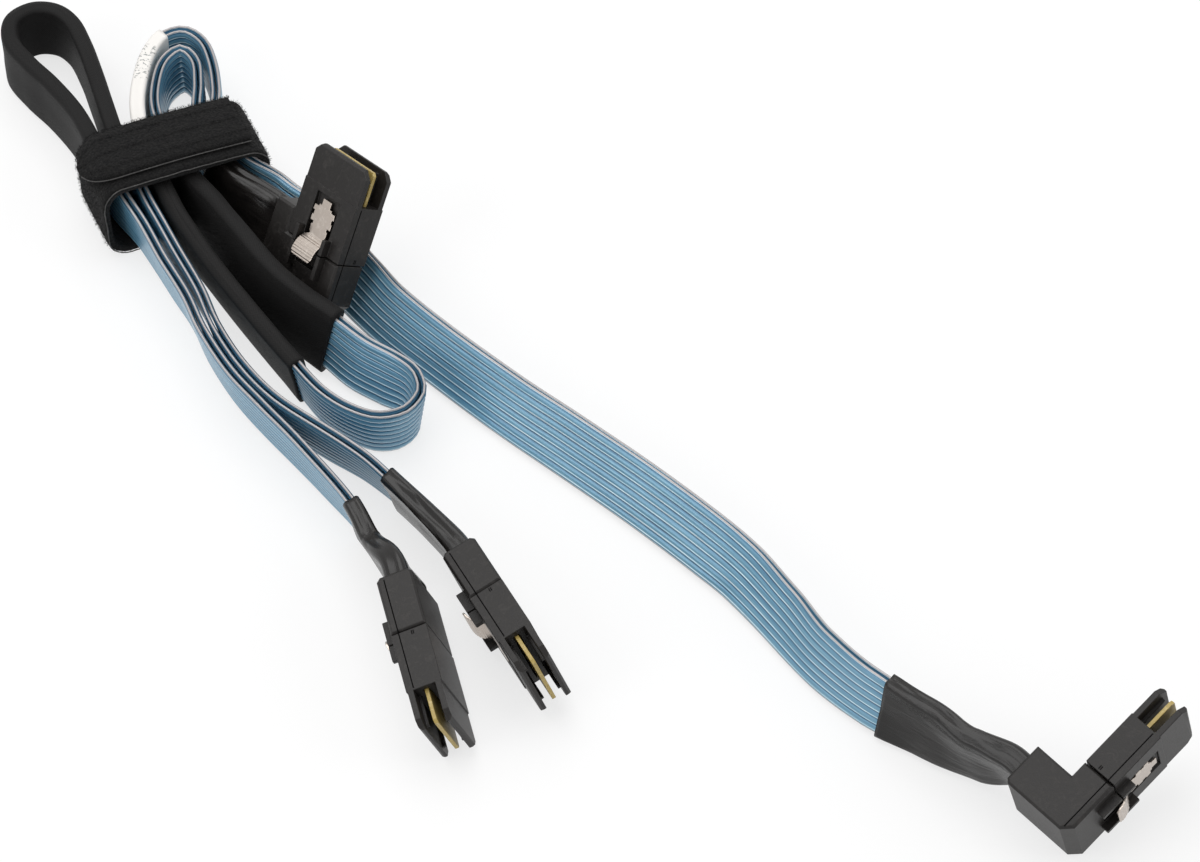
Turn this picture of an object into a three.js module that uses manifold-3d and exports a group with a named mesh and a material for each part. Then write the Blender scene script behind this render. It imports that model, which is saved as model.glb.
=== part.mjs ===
// Two internal multi-lane storage cables, bundled with a hook-and-loop strap and lying on a table.
// Each cable is a pair of flat ribbons with a plug on both ends. Units are millimetres and +Z is up.
// Cable A joins the two straight plugs. Cable B joins the two right-angle plugs.
import * as THREE from "three";
import { mergeVertices } from "three/addons/utils/BufferGeometryUtils.js";
import Module from "manifold-3d";

const wasm = await Module();
wasm.setup();

// Where the table point under the middle of the picture lies in the part's own frame
const ORIGIN_SHIFT = new THREE.Vector3(10, 0.1, 0);

// Clearance between pieces that touch on the real cable
const GAP = 0.3;

// Flat ribbon, two of which make one cable
const RIBBON_WIDTH = 17;
const RIBBON_THICKNESS = 1.3;
const RIBBON_SPACING = 1.75;
const RIBBON_CORNER = 0.4;

// Braided sleeves over the ribbon pair
const SLEEVE_WALL = 0.5;
const SLEEVE_SPREAD = 2.4;

// Heat-shrink boots behind the plugs
const BOOT_WALL = 0.6;
const BOOT_FULLNESS = 2.2;
const BOOT_LENGTH_RIGHT = 42;
const BOOT_LENGTH_UPPER = 30;
const BOOT_LENGTH_STRAIGHT = 34;

// Plug head: local X points out of the nose, local -Y is the latch face, local Z runs across
const PLUG_WIDTH = 22;
const BODY_THICKNESS = 9.2;
const NOSE_THICKNESS = 8.6;
const NOSE_WALL = 1.5;
const NOSE_LENGTH = 9.8;
const NOSE_CHAMFER = 2.2;
const BLOCK_LENGTH = 15.8;
const REAR_LENGTH = 16;
const EDGE_BEVEL = 0.6;
const HOOD_WIDTH = 11.5;
const HOOD_RISE = 11;
const SIDE_REAR_LENGTH = 13.6;
const SIDE_HOOD_RISE = 8;
const SIDE_HOOD_LENGTH = 20.6;
const HOOD_CORNER = 2.5;
const MOUTH_DEPTH = 2;

// Paddle card between the nose walls
const CARD_THICKNESS = 1;
const CARD_WIDTH = 18;
const CARD_SETBACK = 0.8;
const CARD_SEAT_DEPTH = 8;

// Guide ribs on the inner faces of the nose walls
const RIB_SIZE = 0.8;
const RIB_OFFSET = 6.5;

// Stamped spring latch on the latch face
const LATCH_SHEET = 0.5;
const LATCH_STEM_WIDTH = 4;
const LATCH_EAR_WIDTH = 9;
const LATCH_EAR_LENGTH = 3;
const LATCH_HEAD_WIDTH = 6;
const LATCH_HEAD_LENGTH = 2.2;
const LATCH_TAB_WIDTH = 8.4;
const LATCH_ROOT = -12.5;
const LATCH_EAR_START = -16;
const LATCH_TAB_START = -23;
const LATCH_TAB_RUN = 6.5;
const LATCH_TAB_RISE = 3.4;
const LATCH_PRESS_ANGLE = 5;
const LATCH_PIN_RADIUS = 0.6;

// Guard rails beside the latch tab
const RAIL_WIDTH = 1.3;
const RAIL_HEIGHT = 2.2;
const RAIL_LENGTH = 11;
const RAIL_START = -21.3;

// Hook-and-loop strap round the bundle
const STRAP_THICKNESS = 1.8;
const STRAP_BAND = 20;

// White label wrapped round one leg of the upper loop
const LABEL_THICKNESS = 0.25;

const blockRear = -(NOSE_LENGTH + BLOCK_LENGTH);
const plugRear = blockRear - GAP - REAR_LENGTH;
const sideRear = blockRear - GAP - SIDE_REAR_LENGTH;
const pairThickness = RIBBON_SPACING + RIBBON_THICKNESS;

// Finishes
const finish = (color, roughness, metalness = 0) =>
  new THREE.MeshStandardMaterial({ color, roughness, metalness });
const housingPlastic = finish(0x1c1c1e, 0.55);
const blueJacket = finish(0x4f9fd0, 0.3, 0.2);
const heatShrink = finish(0x0d0d0f, 0.35);
const sleeveBlack = finish(0x0f0f10, 0.8);
const strapBlack = finish(0x111113, 0.95);
const latchSteel = finish(0xb9b6ae, 0.3, 0.9);
const cardBoard = finish(0x8a7434, 0.45, 0.2);
const labelWhite = finish(0xeceae4, 0.6);

// Solids and meshes
function toSolid(geometry) {
  const bare = geometry.clone();
  for (const name of Object.keys(bare.attributes)) {
    if (name !== "position") bare.deleteAttribute(name);
  }
  const merged = mergeVertices(bare, 1e-4);
  return new wasm.Manifold(
    new wasm.Mesh({
      numProp: 3,
      vertProperties: new Float32Array(merged.attributes.position.array),
      triVerts: new Uint32Array(merged.index.array),
    }),
  );
}

function toGeometry(solid) {
  const mesh = solid.getMesh();
  const geometry = new THREE.BufferGeometry();
  const positions = [];
  for (let i = 0; i < mesh.numVert; i++) {
    positions.push(...mesh.vertProperties.slice(i * mesh.numProp, i * mesh.numProp + 3));
  }
  geometry.setAttribute("position", new THREE.Float32BufferAttribute(positions, 3));
  geometry.setIndex([...mesh.triVerts]);
  geometry.computeVertexNormals();
  return geometry;
}

function named(name, geometry, material) {
  const mesh = new THREE.Mesh(geometry, material);
  mesh.name = name;
  return mesh;
}

// A box between two corners
function block(low, high) {
  const size = [0, 1, 2].map((i) => high[i] - low[i]);
  const geometry = new THREE.BoxGeometry(...size);
  geometry.translate(...[0, 1, 2].map((i) => (low[i] + high[i]) / 2));
  return toSolid(geometry);
}

// A polygon in the XY plane, extruded along Z between two heights, with bevelled rims
function prism(points, zLow, zHigh, bevel = 0) {
  const shape = new THREE.Shape(points.map(([x, y]) => new THREE.Vector2(x, y)));
  const geometry = new THREE.ExtrudeGeometry(shape, {
    depth: zHigh - zLow - 2 * bevel,
    bevelEnabled: bevel > 0,
    bevelSize: bevel,
    bevelThickness: bevel,
    bevelOffset: -bevel,
    bevelSegments: 1,
  });
  geometry.translate(0, 0, zLow + bevel);
  return geometry;
}

// The same polygon read as (x, z) and extruded along Y between two heights
function platePrism(points, yLow, yHigh, bevel = 0) {
  const turned = points.map(([x, z]) => [x, -z]);
  const geometry = prism(turned, yLow, yHigh, bevel);
  geometry.rotateX(-Math.PI / 2);
  return geometry;
}

// Plug poses: the point at the middle of the nose tip, and the nose and thickness directions
const PLUGS = {
  right: {
    tip: [137, -102.5, 23.73],
    nose: [0.7, 0.64, 0.32],
    thick: [-0.75, 0.66, 0.04],
    exit: "top",
  },
  upper: {
    tip: [-62.5, 58.5, 39],
    nose: [0.32, 0.535, 0.78],
    thick: [0.7, 0.39, -0.59],
    exit: "side",
  },
  left: {
    tip: [-36.4, -102.3, 11.44],
    nose: [0.257, -0.959, -0.121],
    thick: [0.927, 0.209, 0.312],
    exit: "rear",
  },
  middle: {
    tip: [-13, -89, 15.52],
    nose: [0.452, -0.887, 0.096],
    thick: [0.845, 0.46, 0.273],
    exit: "rear",
  },
};

function poseOf({ tip, nose, thick }) {
  const x = new THREE.Vector3(...nose).normalize();
  const z = new THREE.Vector3().crossVectors(x, new THREE.Vector3(...thick)).normalize();
  const y = new THREE.Vector3().crossVectors(z, x);
  return new THREE.Matrix4().makeBasis(x, y, z).setPosition(...tip);
}

// Where a plug's cable leaves it, in the plug's own frame: point, direction, and width direction
const hoodMiddle = plugRear + HOOD_WIDTH / 2;
const sideHoodMiddle = sideRear + SIDE_HOOD_LENGTH / 2;
const EXITS = {
  rear: { point: [plugRear, 0, 0], out: [-1, 0, 0], across: [0, 0, 1] },
  top: { point: [hoodMiddle, BODY_THICKNESS / 2 + HOOD_RISE, 0], out: [0, 1, 0], across: [0, 0, 1] },
  side: { point: [sideHoodMiddle, 0, PLUG_WIDTH / 2 + SIDE_HOOD_RISE], out: [0, 0, 1], across: [1, 0, 0] },
};

function exitOf(plug) {
  const pose = poseOf(plug);
  const exit = EXITS[plug.exit];
  const out = new THREE.Vector3(...exit.out).transformDirection(pose);
  const across = new THREE.Vector3(...exit.across).transformDirection(pose);
  const point = new THREE.Vector3(...exit.point).applyMatrix4(pose);
  return { point, out, across };
}

// Cable routes on the table: x, y, height of the ribbon's middle, and lean of its top edge to the
// left of the way the route runs, in degrees
const ROUTE_A = [
  [-53.5, -47.5, 10, 16],
  [-60.5, -34.5, 9.9, 12],
  [-69.5, -22, 9.2, 10],
  [-77, -12.5, 9.1, 9],
  [-84.5, -3.5, 9.1, 9],
  [-92.8, 7.3, 9.1, 10],
  [-100.4, 20.7, 9.1, 10],
  [-105.2, 32, 9.2, 10],
  [-111.4, 43, 9.5, 9],
  [-119.8, 58, 10.8, 6],
  [-127.8, 70, 11.4, 0],
  [-133, 81, 11.4, 0],
  [-138.5, 92.5, 10.5, 0],
  [-146, 103.5, 9.7, 0],
  [-153, 111.5, 9.6, 0],
  [-158.3, 119.5, 9.6, 0],
  [-158.3, 127, 9.6, 0],
  [-153.3, 131, 9.6, 0],
  [-147.3, 130.6, 9.6, 0],
  [-142.5, 126.5, 9.6, 0],
  [-138.6, 118.5, 9.6, 0],
  [-134.8, 107.5, 10, 0],
  [-130.6, 94, 10.8, 0],
  [-127, 83, 11.4, 0],
  [-121.7, 71.5, 11.4, -2],
  [-115.6, 60, 10.8, -7],
  [-107.5, 45, 9.5, -9],
  [-101.7, 34, 9.2, -10],
  [-97, 22.2, 9.1, -10],
  [-89.6, 9.2, 9.1, -10],
  [-81, -1.2, 9.1, -10],
  [-70, -9.8, 9.1, -11],
  [-58.5, -18.5, 9.2, -14],
  [-49, -28.5, 9.6, -16],
];

const ROUTE_B = [
  [90, -107, 11.6, 8],
  [78, -98, 10.1, -6],
  [65, -88.5, 9.3, -16],
  [53.5, -76.5, 8.6, -20],
  [44.5, -63.5, 8.4, -26],
  [35, -50.5, 8.15, -31],
  [26.5, -41.5, 7.95, -34],
  [10, -26, 7.95, -34],
  [-8, -10.5, 7.95, -33],
  [-23, 2, 8.15, -31],
  [-41, 18.5, 8.2, -29],
  [-54, 31.5, 8, -32],
  [-62, 41.8, 7.6, -38],
  [-69.5, 52, 7.35, -42],
  [-77.5, 61.5, 7.35, -42],
  [-85.8, 69, 8.4, -34],
  [-95.4, 79, 11.2, -6],
  [-101.2, 90.5, 11.2, 0],
  [-102, 101, 10.2, 0],
  [-103.8, 112, 9.4, 0],
  [-107, 120, 9.2, 0],
  [-112, 123.6, 9.2, 0],
  [-117.4, 121.6, 9.2, 0],
  [-120.8, 115, 9.4, 0],
  [-122.6, 104, 9.8, 0],
  [-122.4, 93.5, 10.6, 0],
  [-119.6, 81, 11.4, 0],
  [-114.2, 68, 11.4, -3],
  [-107.9, 56.6, 10.4, -8],
  [-98.4, 41.6, 9.6, -10],
  [-88.8, 27.2, 9.6, -10],
  [-81, 16, 9.6, -10],
  [-76, 9, 9.5, -9],
  [-70, 1.4, 9, -8],
  [-63.2, -4, 8.8, -8],
  [-56, -6.8, 8.7, -8],
  [-49.6, -5.2, 8.7, -8],
  [-46.2, 0.4, 8.7, -8],
  [-48.4, 6.6, 8.7, -10],
  [-54.4, 10.6, 8.8, -16],
  [-61.5, 15, 9.2, -17],
  [-68.6, 21, 10.5, -15],
  [-76.4, 27.6, 10.8, -13],
  [-84.7, 36.2, 10.8, -12],
  [-92.4, 47, 10.9, -11],
  [-99.8, 59, 11.2, -7],
  [-107.4, 70.8, 11.4, -2],
  [-113.4, 82.5, 11.4, 0],
  [-117.6, 94, 10.4, 0],
  [-118.2, 104.5, 9.6, 0],
  [-116.4, 113, 9.2, 0],
  [-112.4, 116.8, 9.2, 0],
  [-108.4, 112.6, 9.2, 0],
  [-107, 103, 9.8, 0],
  [-106.6, 92.5, 10.8, 0],
  [-103.8, 81.5, 11.6, 4],
  [-98.8, 71.4, 11.6, 20],
];

const up = new THREE.Vector3(0, 0, 1);

// Most that a route turns and twists between two rings, in degrees
const MOST_TURN = 18;
const MOST_TWIST = 2.5;

// One cable from plug to plug: its centre line and the direction of the ribbons' width along it.
// The parameter counts the points of the route, so a place on the route is found by its number.
class Strand {
  constructor(from, route, to) {
    const points = [
      from.point.clone(),
      from.point.clone().addScaledVector(from.out, 6),
      ...route.map(([x, y, z]) => new THREE.Vector3(x, y, z)),
      to.point.clone().addScaledVector(to.out, 6),
      to.point.clone(),
    ];
    this.last = points.length - 1;
    this.line = new THREE.CatmullRomCurve3(points, false, "centripetal");
    this.widths = points.map((point, i) => {
      if (i < 2) return from.across;
      if (i > this.last - 2) return to.across;
      return this.leaned(i, route[i - 2][3]);
    });
    this.places = this.spacing();
  }

  tangent(u) {
    return this.line.getTangent(u / this.last);
  }

  leaned(i, degrees) {
    const along = this.tangent(i);
    const left = new THREE.Vector3().crossVectors(up, along).normalize();
    const upright = new THREE.Vector3().crossVectors(along, left);
    const angle = THREE.MathUtils.degToRad(degrees);
    return upright.multiplyScalar(Math.cos(angle)).addScaledVector(left, Math.sin(angle));
  }

  // Middle, tangent, width direction and thickness direction at a place on the route
  frame(u) {
    const i = Math.min(Math.floor(u), this.last - 1);
    const t = u - i;
    const ease = t * t * (3 - 2 * t);
    const along = this.tangent(u);
    const across = this.widths[i].clone().lerp(this.widths[i + 1], ease);
    across.addScaledVector(along, -across.dot(along)).normalize();
    const thick = new THREE.Vector3().crossVectors(across, along);
    return { middle: this.line.getPoint(u / this.last), along, across, thick };
  }

  // Places along the whole route, closer together where it bends or twists
  spacing() {
    const list = [0];
    for (let i = 0; i < this.last; i++) {
      const turn = THREE.MathUtils.radToDeg(this.tangent(i).angleTo(this.tangent(i + 1)));
      const twist = THREE.MathUtils.radToDeg(this.frame(i).across.angleTo(this.frame(i + 1).across));
      const parts = Math.max(1, Math.ceil(turn / MOST_TURN), Math.ceil(twist / MOST_TWIST));
      for (let k = 1; k <= parts; k++) list.push(i + k / parts);
    }
    return list;
  }

  // The places between two points of the route, the same for every piece on it
  stops(from, to) {
    return this.places.filter((u) => u > from - 1e-6 && u < to + 1e-6);
  }

  // Adds a ring at a place, for a piece that starts or ends there
  mark(u) {
    this.places.push(u);
    this.places.sort((a, b) => a - b);
    return u;
  }

  // The place on the route that lies a given distance from one end
  placeAt(distance) {
    const fromStart = distance >= 0;
    const step = 0.02;
    let u = fromStart ? 0 : this.last;
    let walked = 0;
    let before = this.line.getPoint(u / this.last);
    while (walked < Math.abs(distance)) {
      u += fromStart ? step : -step;
      const here = this.line.getPoint(u / this.last);
      walked += here.distanceTo(before);
      before = here;
    }
    return u;
  }
}

// A line beside a strand, for ExtrudeGeometry: it brings its own frames, so the ribbons don't twist
class BesideStrand extends THREE.Curve {
  constructor(strand, stops, offset) {
    super();
    this.frames = stops.map((u) => strand.frame(u));
    this.offset = offset;
  }

  getSpacedPoints() {
    return this.frames.map(({ middle, thick }) => middle.clone().addScaledVector(thick, this.offset));
  }

  computeFrenetFrames() {
    return {
      tangents: this.frames.map((f) => f.along),
      normals: this.frames.map((f) => f.thick),
      binormals: this.frames.map((f) => f.across),
    };
  }
}

// A flat section with cut corners: x across the thickness, y across the width
function flatSection(thickness, width, corner) {
  const t = thickness / 2;
  const w = width / 2;
  const c = Math.min(corner, t * 0.95);
  return [
    [t, -w + c],
    [t, w - c],
    [t - c, w],
    [-t + c, w],
    [-t, w - c],
    [-t, -w + c],
    [-t + c, -w],
    [t - c, -w],
  ].map(([x, y]) => new THREE.Vector2(x, y));
}

// The section of a ribbon pair, grown evenly on all sides, and further in thickness or width
function pairSection(growth, thicker = 0, wider = 0) {
  const cornerGrowth = (growth + thicker / 2) * (2 - Math.SQRT2);
  return flatSection(
    pairThickness + 2 * growth + thicker,
    RIBBON_WIDTH + 2 * growth + wider,
    RIBBON_CORNER + cornerGrowth,
  );
}

function sweep(strand, from, to, offset, section) {
  const stops = strand.stops(from, to);
  return new THREE.ExtrudeGeometry(new THREE.Shape(section), {
    steps: stops.length - 1,
    bevelEnabled: false,
    extrudePath: new BesideStrand(strand, stops, offset),
  });
}

// A section's points, set upright across a strand at one place
function ringAt(strand, u, section) {
  const { middle, across, thick } = strand.frame(u);
  return section.map((p) => middle.clone().addScaledVector(thick, p.x).addScaledVector(across, p.y));
}

// A closed tube wall through rings of points: outer skin, inner skin and two ring-shaped ends. The
// inner skin is split into triangles the same way as the ribbons inside it, which keeps the gap even.
function tubeWall(outer, inner) {
  const count = outer[0].length;
  const rings = [...outer, ...[...inner].reverse()];
  const positions = rings.flat().flatMap((p) => [p.x, p.y, p.z]);
  const index = [];
  for (let r = 0; r < rings.length; r++) {
    const next = (r + 1) % rings.length;
    for (let k = 0; k < count; k++) {
      const a = r * count + k;
      const b = r * count + ((k + 1) % count);
      const c = next * count + k;
      const d = next * count + ((k + 1) % count);
      if (r < outer.length) index.push(a, b, c, b, d, c);
      else index.push(a, b, d, a, d, c);
    }
  }
  const geometry = new THREE.BufferGeometry();
  geometry.setAttribute("position", new THREE.Float32BufferAttribute(positions, 3));
  geometry.setIndex(index);
  geometry.computeVertexNormals();
  return geometry;
}

// A wall round a strand, whose outer section may change along the way
function wrap(strand, from, to, outerAt) {
  const stops = strand.stops(from, to);
  return tubeWall(
    stops.map((u) => ringAt(strand, u, outerAt(u))),
    stops.map((u) => ringAt(strand, u, pairSection(GAP))),
  );
}

// A heat-shrink boot: snug on the ribbons at its open end and fuller towards the plug
function boot(strand, from, to, plugAtStart) {
  const outer = [];
  const inner = [];
  for (const u of strand.stops(from, to)) {
    const share = (u - from) / (to - from);
    const near = plugAtStart ? 1 - share : share;
    outer.push(ringAt(strand, u, pairSection(GAP + BOOT_WALL, BOOT_FULLNESS * near * near)));
    inner.push(ringAt(strand, u, pairSection(GAP)));
  }
  return tubeWall(outer, inner);
}

// Front housing: the fork that plugs in, the card seat behind it and the block with the latch root
function noseHousing() {
  const half = PLUG_WIDTH / 2;
  const outline = [
    [blockRear, -BODY_THICKNESS / 2],
    [-NOSE_LENGTH, -BODY_THICKNESS / 2],
    [-NOSE_LENGTH, -NOSE_THICKNESS / 2],
    [-0.7, -NOSE_THICKNESS / 2],
    [0, -NOSE_THICKNESS / 2 + 0.7],
    [0, -NOSE_THICKNESS / 2 + NOSE_WALL],
    [-NOSE_LENGTH, -NOSE_THICKNESS / 2 + NOSE_WALL],
    [-NOSE_LENGTH, NOSE_THICKNESS / 2 - NOSE_WALL],
    [0, NOSE_THICKNESS / 2 - NOSE_WALL],
    [0, NOSE_THICKNESS / 2 - 0.7],
    [-0.7, NOSE_THICKNESS / 2],
    [-NOSE_LENGTH, NOSE_THICKNESS / 2],
    [-NOSE_LENGTH, BODY_THICKNESS / 2],
    [blockRear, BODY_THICKNESS / 2],
  ];
  let solid = toSolid(prism(outline, -half, half));
  const seatHalf = CARD_THICKNESS / 2 + GAP;
  solid = solid.subtract(
    block(
      [-NOSE_LENGTH - CARD_SEAT_DEPTH - GAP, -seatHalf, -CARD_WIDTH / 2 - GAP],
      [-NOSE_LENGTH + 1, seatHalf, CARD_WIDTH / 2 + GAP],
    ),
  );
  for (const side of [-1, 1]) {
    const corner = [
      [1, side * (half - NOSE_CHAMFER - 1)],
      [-NOSE_CHAMFER, side * half],
      [-NOSE_CHAMFER, side * (half + 1)],
      [1, side * (half + 1)],
    ];
    const ordered = side > 0 ? corner.reverse() : corner;
    const cut = platePrism(ordered, -NOSE_THICKNESS, NOSE_THICKNESS);
    solid = solid.subtract(toSolid(cut));
    for (const wall of [-1, 1]) {
      const face = wall * (NOSE_THICKNESS / 2 - NOSE_WALL);
      const rib = block(
        [-NOSE_LENGTH - 0.5, Math.min(face + wall * 0.3, face - wall * RIB_SIZE), side * RIB_OFFSET - RIB_SIZE / 2],
        [-1.5, Math.max(face + wall * 0.3, face - wall * RIB_SIZE), side * RIB_OFFSET + RIB_SIZE / 2],
      );
      solid = solid.add(rib);
    }
  }
  return solid.subtract(latchPocket()).add(rails(blockRear, RAIL_START));
}

// The recess that the latch is pressed into, deeper towards the free end
function latchPocket() {
  const face = -BODY_THICKNESS / 2;
  const end = LATCH_TAB_START - LATCH_TAB_RUN - 1.5;
  const deep = Math.tan(THREE.MathUtils.degToRad(LATCH_PRESS_ANGLE)) * (LATCH_ROOT - end);
  const pocket = [
    [LATCH_ROOT + 1, face - 1],
    [LATCH_ROOT + 1, face + LATCH_SHEET + GAP],
    [end, face + LATCH_SHEET + 2 * GAP + deep],
    [end, face - 1],
  ];
  const half = LATCH_EAR_WIDTH / 2 + GAP;
  return toSolid(prism(pocket.reverse(), -half, half));
}

function rails(from, to) {
  const inner = LATCH_EAR_WIDTH / 2 + GAP + 0.2;
  const face = -BODY_THICKNESS / 2;
  const left = block([from, face - RAIL_HEIGHT, inner], [to, face + 0.3, inner + RAIL_WIDTH]);
  const right = block([from, face - RAIL_HEIGHT, -inner - RAIL_WIDTH], [to, face + 0.3, -inner]);
  return left.add(right);
}

// The pocket in a rear shell that the heat-shrink boot enters
function mouth(exit) {
  const { point, out, across } = exit;
  const alongOut = new THREE.Vector3(...out);
  const wide = new THREE.Vector3(...across);
  const thick = new THREE.Vector3().crossVectors(wide, alongOut);
  const shape = new THREE.Shape(pairSection(2 * GAP + BOOT_WALL, BOOT_FULLNESS));
  const geometry = new THREE.ExtrudeGeometry(shape, { depth: MOUTH_DEPTH + 1, bevelEnabled: false });
  const place = new THREE.Matrix4().makeBasis(thick, wide, new THREE.Vector3().crossVectors(thick, wide));
  geometry.applyMatrix4(place);
  const shift = new THREE.Vector3().crossVectors(thick, wide).dot(alongOut) > 0 ? -MOUTH_DEPTH : -1;
  geometry.translate(...new THREE.Vector3(...point).addScaledVector(alongOut, shift).toArray());
  return toSolid(geometry);
}

// Rear shell: closes the block and turns the cable out to the rear, the top or the side
function rearShell(kind) {
  const half = PLUG_WIDTH / 2;
  const front = blockRear - GAP;
  const y = BODY_THICKNESS / 2;
  const c = HOOD_CORNER;
  let geometry;
  if (kind === "rear") {
    const outline = [
      [front, -y],
      [front, y],
      [plugRear + 1, y],
      [plugRear, y - 1],
      [plugRear, -y + 1],
      [plugRear + 1, -y],
    ];
    geometry = prism(outline, -half, half, EDGE_BEVEL);
  }
  if (kind === "top") {
    const top = y + HOOD_RISE;
    const step = plugRear + HOOD_WIDTH;
    const outline = [
      [front, -y],
      [front, y],
      [step, y],
      [step, top],
      [plugRear + 1, top],
      [plugRear, top - 1],
      [plugRear, -y + c],
      [plugRear + c, -y],
    ];
    geometry = prism(outline, -half, half, EDGE_BEVEL);
  }
  if (kind === "side") {
    const end = half + SIDE_HOOD_RISE;
    const hoodFront = sideRear + SIDE_HOOD_LENGTH;
    const outline = [
      [front, -half],
      [front, half + GAP],
      [hoodFront, half + GAP],
      [hoodFront, end - 1],
      [hoodFront - 1, end],
      [sideRear + 1, end],
      [sideRear, end - 1],
      [sideRear, -half + c],
      [sideRear + c, -half],
    ];
    geometry = platePrism(outline, -y, y, EDGE_BEVEL);
  }
  let solid = toSolid(geometry);
  solid = solid.subtract(latchPocket()).subtract(mouth(EXITS[kind]));
  return solid.add(rails(RAIL_START - RAIL_LENGTH, front));
}

// Paddle card with a clipped front edge
function paddleCard() {
  const half = CARD_WIDTH / 2;
  const outline = [
    [-NOSE_LENGTH - CARD_SEAT_DEPTH, -half],
    [-CARD_SETBACK - 0.8, -half],
    [-CARD_SETBACK, -half + 0.8],
    [-CARD_SETBACK, half - 0.8],
    [-CARD_SETBACK - 0.8, half],
    [-NOSE_LENGTH - CARD_SEAT_DEPTH, half],
  ];
  return toSolid(platePrism(outline, -CARD_THICKNESS / 2, CARD_THICKNESS / 2));
}

// Stamped latch: a cross-shaped spring with a rolled root and a tab bent out for the finger
function springLatch() {
  const face = -BODY_THICKNESS / 2;
  const low = face;
  const high = face + LATCH_SHEET;
  const stem = LATCH_STEM_WIDTH / 2;
  const ear = LATCH_EAR_WIDTH / 2;
  const head = LATCH_HEAD_WIDTH / 2;
  const headEnd = LATCH_ROOT - LATCH_HEAD_LENGTH;
  const earEnd = LATCH_EAR_START - LATCH_EAR_LENGTH;
  const tab = LATCH_TAB_WIDTH / 2;
  const side = [
    [LATCH_ROOT, head],
    [headEnd, head],
    [headEnd, stem],
    [LATCH_EAR_START, stem],
    [LATCH_EAR_START, ear],
    [earEnd, ear],
    [earEnd, stem],
    [LATCH_TAB_START + 1, stem],
    [LATCH_TAB_START, tab],
  ];
  const mirrored = [...side].reverse().map(([x, z]) => [x, -z]);
  let solid = toSolid(platePrism([...side, ...mirrored], low, high));
  const bend = LATCH_TAB_START;
  const tip = bend - LATCH_TAB_RUN;
  const profile = [
    [bend + 0.4, low],
    [bend + 0.4, high],
    [bend, high],
    [tip - 0.3, high - LATCH_TAB_RISE],
    [tip - 0.3, low - LATCH_TAB_RISE],
    [bend, low],
  ];
  solid = solid.add(toSolid(prism(profile, -tab, tab)));
  const roll = new THREE.CylinderGeometry(LATCH_PIN_RADIUS, LATCH_PIN_RADIUS, LATCH_HEAD_WIDTH, 10);
  roll.rotateX(Math.PI / 2);
  roll.translate(LATCH_ROOT - 0.2, face + LATCH_SHEET - LATCH_PIN_RADIUS, 0);
  return solid.add(toSolid(roll));
}

function plugHead(name, plug) {
  const group = new THREE.Group();
  group.applyMatrix4(poseOf(plug));
  group.add(
    named(`plug_${name}_nose_housing`, toGeometry(noseHousing()), housingPlastic),
    named(`plug_${name}_rear_shell`, toGeometry(rearShell(plug.exit)), housingPlastic),
    named(`plug_${name}_paddle_card`, toGeometry(paddleCard()), cardBoard),
    named(`plug_${name}_latch`, toGeometry(springLatch()), latchSteel),
  );
  return group;
}

const part = new THREE.Group();
part.position.copy(ORIGIN_SHIFT);
for (const [name, plug] of Object.entries(PLUGS)) part.add(plugHead(name, plug));

// Cables
const inPocket = MOUTH_DEPTH - GAP;
function inward(exit) {
  return { ...exit, point: exit.point.clone().addScaledVector(exit.out, -inPocket) };
}
const exits = Object.fromEntries(Object.entries(PLUGS).map(([name, plug]) => [name, inward(exitOf(plug))]));
const cableA = new Strand(exits.left, ROUTE_A, exits.middle);
const cableB = new Strand(exits.right, ROUTE_B, exits.upper);

const bootPlaces = {
  left: [cableA, 0, cableA.mark(cableA.placeAt(BOOT_LENGTH_STRAIGHT)), true],
  middle: [cableA, cableA.mark(cableA.placeAt(-BOOT_LENGTH_STRAIGHT)), cableA.last, false],
  right: [cableB, 0, cableB.mark(cableB.placeAt(BOOT_LENGTH_RIGHT)), true],
  upper: [cableB, cableB.mark(cableB.placeAt(-BOOT_LENGTH_UPPER)), cableB.last, false],
};

for (const [name, strand] of [["a", cableA], ["b", cableB]]) {
  for (const [place, side] of [["first", -1], ["second", 1]]) {
    const section = flatSection(RIBBON_THICKNESS, RIBBON_WIDTH, RIBBON_CORNER);
    const geometry = sweep(strand, 0, strand.last, (side * RIBBON_SPACING) / 2, section);
    part.add(named(`cable_${name}_${place}_ribbon`, geometry, blueJacket));
  }
}

// Boots
for (const [name, place] of Object.entries(bootPlaces)) {
  part.add(named(`boot_${name}`, boot(...place), heatShrink));
}

// Sleeves, from one numbered place of a route to another
const SLEEVES = {
  sleeve_loop: [cableA, 12, 26, () => 0],
  sleeve_narrow: [cableB, 28, 34, () => 0],
  sleeve_wide: [cableB, 43, 49, (u) => SLEEVE_SPREAD * THREE.MathUtils.clamp((48 - u) / 2, 0, 1)],
};
for (const [name, [strand, from, to, spreadAt]] of Object.entries(SLEEVES)) {
  const section = (u) => pairSection(GAP + SLEEVE_WALL, 0, spreadAt(u));
  part.add(named(name, wrap(strand, from, to, section), sleeveBlack));
}

// Label
const labelSection = () => pairSection(GAP + LABEL_THICKNESS);
part.add(named("label_wrap", wrap(cableB, 24, 27, labelSection), labelWhite));

// Strap: a band round the six strands, and the tail that laps over it
const STRAP_MIDDLE = [-112.1, 76.4];
const STRAP_AXIS = [0.42, -0.9075];
const STRAP_HALF_ACROSS = 23.2;
const STRAP_HEIGHT = 24;

function strapPoint(across, height, along) {
  const [ax, ay] = STRAP_AXIS;
  const x = STRAP_MIDDLE[0] - ay * across + ax * along;
  const y = STRAP_MIDDLE[1] + ax * across + ay * along;
  return new THREE.Vector3(x, y, height);
}

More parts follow.
